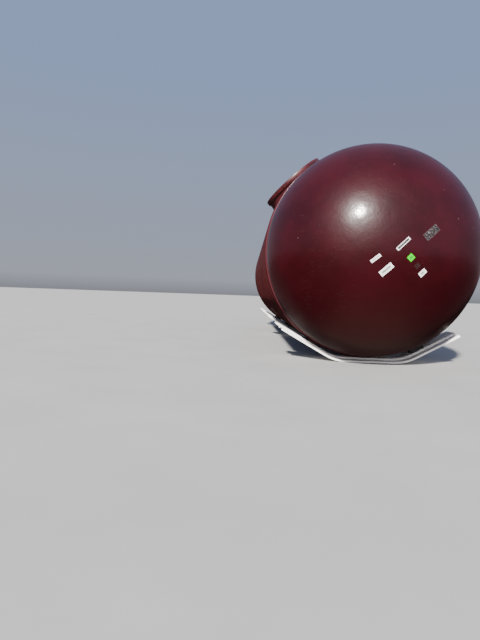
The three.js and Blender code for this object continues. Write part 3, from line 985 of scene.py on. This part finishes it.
stickerSheet = {"lift": 0.0006, "fieldLift": 0.0014, "crinkle": 0.00025, "corner": 0.05, "cornerFrom": 0.95,
                "cells": (14, 8)}
stickers = {
    "labelFramed": {"along": 0.050, "up": -0.048, "size": (0.209, 0.044), "turn": 2.9, "look": "whiteVinyl"},
    "labelUpper": {"along": -0.316, "up": 0.029, "size": (0.138, 0.042), "turn": -2.1, "look": "whiteVinyl"},
    "labelLower": {"along": -0.301, "up": -0.163, "size": (0.182, 0.075), "turn": 1.7, "look": "whiteVinyl"},
    "labelGreen": {"along": 0.019, "up": -0.241, "size": (0.076, 0.076), "turn": 5.8, "look": "greenVinyl"},
    "labelSmall": {"along": 0.023, "up": -0.487, "size": (0.101, 0.064), "turn": 4.6, "look": "whiteVinyl"},
    "labelDark": {"along": 0.020, "up": -0.374, "size": (0.066, 0.062), "turn": 5.2, "look": "darkInk"},
    "labelClear": {"along": 0.420, "up": -0.171, "size": (0.221, 0.098), "turn": 0.4, "look": "wornInk"},
}
printedFields = {
    "labelFramedBar": {"on": "labelFramed", "inset": (0.015, 0.009), "look": "darkPrint"},
    "labelClearField": {"on": "labelClear", "inset": (0.004, 0.004), "look": "greyFilm"},
    "labelUpperField": {"on": "labelUpper", "inset": (0.022, 0.016), "look": "palePrint"},
    "labelLowerField": {"on": "labelLower", "inset": (0.028, 0.025), "look": "palePrint"},
    "labelSmallField": {"on": "labelSmall", "inset": (0.030, 0.020), "look": "palePrint"},
    "labelGreenField": {"on": "labelGreen", "inset": (0.018, 0.024), "look": "greenPrint"},
}


def makeSticker(name, spot, look, lift, corner=0.0, inset=(0.0, 0.0)):
    turn = radians(spot["turn"])
    width, height = [side - 2 * margin for side, margin in zip(spot["size"], inset)]
    across, down = stickerSheet["cells"]
    grid = []
    for i in range(across + 1):
        grid.append([])
        for j in range(down + 1):
            u, v = i / across - 0.5, j / down - 0.5
            rounding = 1 - max(0.0, abs(u) + abs(v) - stickerSheet["cornerFrom"]) * corner
            u, v = u * width * rounding, v * height * rounding
            along = spot["along"] + u * cos(turn) - v * sin(turn)
            up = spot["up"] + u * sin(turn) + v * cos(turn)
            x = along * crossAxis.x + up * leanAxis.x
            z = along * crossAxis.z + up * leanAxis.z
            crinkle = stickerSheet["crinkle"] * max(0.0, wobble(x * 30, z * 30, 1.0))
            grid[-1].append([domePoint(x, z, height) for height in (lift + crinkle, hair)])
    finishPiece(newPiece(name, *stripSurface(grid)), plain[look], sharp=60)


for name, spot in stickers.items():
    makeSticker(name, spot, spot["look"], stickerSheet["lift"], stickerSheet["corner"])
for name, field in printedFields.items():
    makeSticker(name, stickers[field["on"]], field["look"], stickerSheet["fieldLift"], inset=field["inset"])
print("stickers made")


studio = {
    "floorSize": 2400.0, "floorDrop": 0.0005, "floorColour": (0.35, 0.347, 0.34), "floorShade": 0.94,
    "key": {"strength": 12.5, "angle": 3.5, "direction": (-0.256, -0.784, 0.566), "tint": (1.0, 0.955, 0.90)},
    "fill": {"strength": 0.7, "angle": 40, "direction": (0.15, -0.98, 0.11), "tint": (1.0, 0.90, 0.78)},
    "above": (0.31, 0.41, 0.66), "horizon": (0.42, 0.44, 0.50), "skyRise": 0.40, "strength": 0.9,
    "glow": (0.70, 0.74, 0.94), "glowDirection": (0.66, -0.68, 0.33), "glowFrom": 0.70,
    "below": (0.036, 0.028, 0.026), "underfoot": (0.62, 0.44, 0.37), "horizonBlend": (-0.05, 0.03),
    "patchMiddle": 0.10, "patchSide": (0.38, 0.70), "patchHeight": (-0.96, -0.46),
}
viewpoint = {"place": (-1.819, -11.574, 0.943), "turn": (87.024, -2.000, 0.859), "lens": 27, "sensor": 36,
             "farClip": 3000}


def makeFloor():
    half = studio["floorSize"] / 2
    points = [(x * half, y * half, -studio["floorDrop"]) for y in (-1, 1) for x in (-1, 1)]
    floor = newPiece("studioFloor", points, [(0, 1, 3, 2)])
    light = studio["floorColour"]
    dark = tuple(c * studio["floorShade"] for c in light)
    floor.data.materials.append(makePlain("floorPaint", dark, light, (0.75, 0.9), 0.8, 0.0005))
    floor.visible_glossy = False                 # gloss sees the even surroundings, not the floor


def makeLamp(name):
    look = studio[name]
    light = bpy.data.lights.new(name + "Light", "SUN")
    light.energy = look["strength"]
    light.angle = radians(look["angle"])
    light.color = look["tint"]
    lamp = addObject(name + "Light", light)
    lamp.rotation_euler = Vector(look["direction"]).to_track_quat("Z", "Y").to_euler()
    return lamp


def makeSurroundings():
    # an even sky, paler near the horizon, over dark ground that is lighter underfoot
    world = bpy.data.worlds.new("studioWorld")
    scene.world = world
    world.use_nodes = True
    tree = world.node_tree
    coords = addNode(tree, "TexCoord").outputs["Generated"]
    way = addNode(tree, "SeparateXYZ", {"Vector": coords}).outputs
    height = way["Z"]
    rise = rescale(height, 0.0, studio["skyRise"])
    sky = mixColour(rise, studio["horizon"], studio["above"])
    towards = addNode(tree, "VectorMath", {0: coords, 1: studio["glowDirection"]},
                      operation="DOT_PRODUCT").outputs["Value"]
    sky = mixColour(rescale(towards, studio["glowFrom"], 1.0), sky, studio["glow"])
    beside = combine("ABSOLUTE", combine("ADD", way["X"], -studio["patchMiddle"]), 0)
    patch = combine("MULTIPLY", rescale(height, *studio["patchHeight"], 1, 0),
                    rescale(beside, *studio["patchSide"], 1, 0))
    ground = mixColour(patch, studio["below"], studio["underfoot"])
    colour = mixColour(rescale(height, *studio["horizonBlend"]), ground, sky)
    background = tree.nodes["Background"]
    tree.links.new(colour, background.inputs["Color"])
    background.inputs["Strength"].default_value = studio["strength"]


makeFloor()
makeLamp("key")
makeLamp("fill").visible_glossy = False          # the fill only lifts the shade
makeSurroundings()

camera = addObject("camera", bpy.data.cameras.new("camera"))
camera.location = viewpoint["place"]
camera.rotation_euler = tuple(radians(a) for a in viewpoint["turn"])
camera.data.lens = viewpoint["lens"]
camera.data.sensor_width = viewpoint["sensor"]
camera.data.clip_end = viewpoint["farClip"]
scene.camera = camera
print("studio made")
